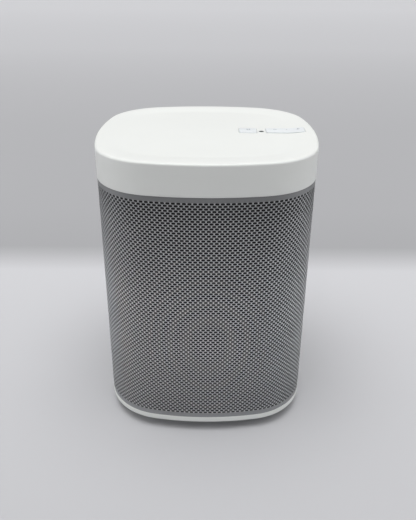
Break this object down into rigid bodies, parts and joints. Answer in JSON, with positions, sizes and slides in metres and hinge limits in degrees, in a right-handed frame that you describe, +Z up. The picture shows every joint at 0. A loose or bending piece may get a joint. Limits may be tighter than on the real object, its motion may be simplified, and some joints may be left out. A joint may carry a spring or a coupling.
{
  "type": "smart speaker",
  "caption": "Rounded-square column smart speaker: white dished cap with touch keys, wrapped perforated metal grille, white base ring, one woofer and one tweeter behind a baffle.",
  "frame": {"origin": "centre of the underside, on the surface the speaker stands on", "axes": "+Z up, the front of the speaker towards -Y, +X to the right as seen from the front"},
  "size_m": [0.1196, 0.1196, 0.1614],
  "materials": {
    "white_plastic": "satin",
    "white_keys": "satin",
    "grille_metal": "satin",
    "black_plastic": "satin",
    "black_rubber": "matte",
    "foam": "matte",
    "steel": "satin",
    "blackened_steel": "matte",
    "plated_steel": "satin",
    "brass": "satin",
    "ferrite": "matte",
    "magnet": "polished",
    "cone_paper": "matte",
    "coil_copper": "satin",
    "silk": "matte",
    "spider_cloth": "matte",
    "circuit_board": "satin",
    "aluminium": "satin",
    "capacitor_sleeve": "satin",
    "dome_steel": "satin",
    "clear_pipe": "satin",
    "led_body": "gloss",
    "cable_black": "matte",
    "ribbon": "satin",
    "nylon": "satin",
    "woven_gasket": "matte"
  },
  "bodies": {
    "housing": {"antenna_cables": "cable_black", "antenna_left": "circuit_board", "antenna_rear": "circuit_board", "baffle_screws": "blackened_steel", "base_screws": "steel", "base_tray": "white_plastic", "board_screws": "steel", "board_spacers": "nylon", "cabinet_gasket": "woven_gasket", "cabinet_shell": "black_plastic", "cable_grommet": "black_rubber", "cap_screws": "steel", "control_board": "circuit_board", "control_ribbon": "ribbon", "control_screws": "steel", "damping_foam": "foam", "driver_leads": "cable_black", "driver_screws": "blackened_steel", "ethernet_jack": "black_plastic", "filter_capacitors": "capacitor_sleeve", "foot_pad": "black_rubber", "front_baffle": "black_plastic", "grille": "grille_metal", "heat_sink": "aluminium", "inlet_leads": "cable_black", "inlet_pins": "plated_steel", "key_frame": "black_plastic", "main_board": "circuit_board", "play_snap_dome": "dome_steel", "power_inlet": "black_plastic", "power_supply_board": "circuit_board", "rear_panel": "white_plastic", "status_led": "led_body", "status_light_pipe": "clear_pipe", "threaded_insert": "brass", "top_cap": "white_plastic", "transformer": "ferrite", "tweeter_faceplate": "black_plastic", "tweeter_gasket": "woven_gasket", "tweeter_magnet": "magnet", "tweeter_pole_disc": "plated_steel", "tweeter_surround": "silk", "tweeter_yoke": "plated_steel", "volume_snap_domes": "dome_steel", "wifi_card": "circuit_board", "woofer_frame": "black_plastic", "woofer_gasket": "woven_gasket", "woofer_magnet": "ferrite", "woofer_pole_yoke": "plated_steel", "woofer_spider": "spider_cloth", "woofer_surround": "black_rubber", "woofer_top_plate": "plated_steel"},
    "play_key": {"play_pause_key": "white_keys"},
    "volume_key": {"volume_rocker": "white_keys"},
    "woofer_motion": {"woofer_cone": "cone_paper", "woofer_dust_cap": "cone_paper", "woofer_voice_coil": "coil_copper"},
    "tweeter_motion": {"tweeter_dome": "silk", "tweeter_voice_coil": "coil_copper"}
  },
  "joints": [
    {"name": "play_key_press", "type": "slide", "parent": "housing", "child": "play_key", "axis": [0, 0, -1], "range_m": [0, 0.0003], "stiffness_N_per_m": 4000, "deforming": ["play_snap_dome"]},
    {"name": "volume_rocker_tilt", "type": "hinge", "parent": "housing", "child": "volume_key", "pos_m": [0.0436, 0.0036, 0.157], "axis": [0, 1, 0], "range_deg": [-2, 2], "stiffness_Nm_per_rad": 0.32, "deforming": ["volume_snap_domes"]},
    {"name": "woofer_stroke", "type": "slide", "parent": "housing", "child": "woofer_motion", "axis": [0, -1, 0], "range_m": [-0.003, 0.003], "stiffness_N_per_m": 1900, "deforming": ["woofer_surround", "woofer_spider"]},
    {"name": "tweeter_stroke", "type": "slide", "parent": "housing", "child": "tweeter_motion", "axis": [0, -1, 0], "range_m": [-0.0003, 0.0003], "stiffness_N_per_m": 17000, "deforming": ["tweeter_surround"]}
  ]
}
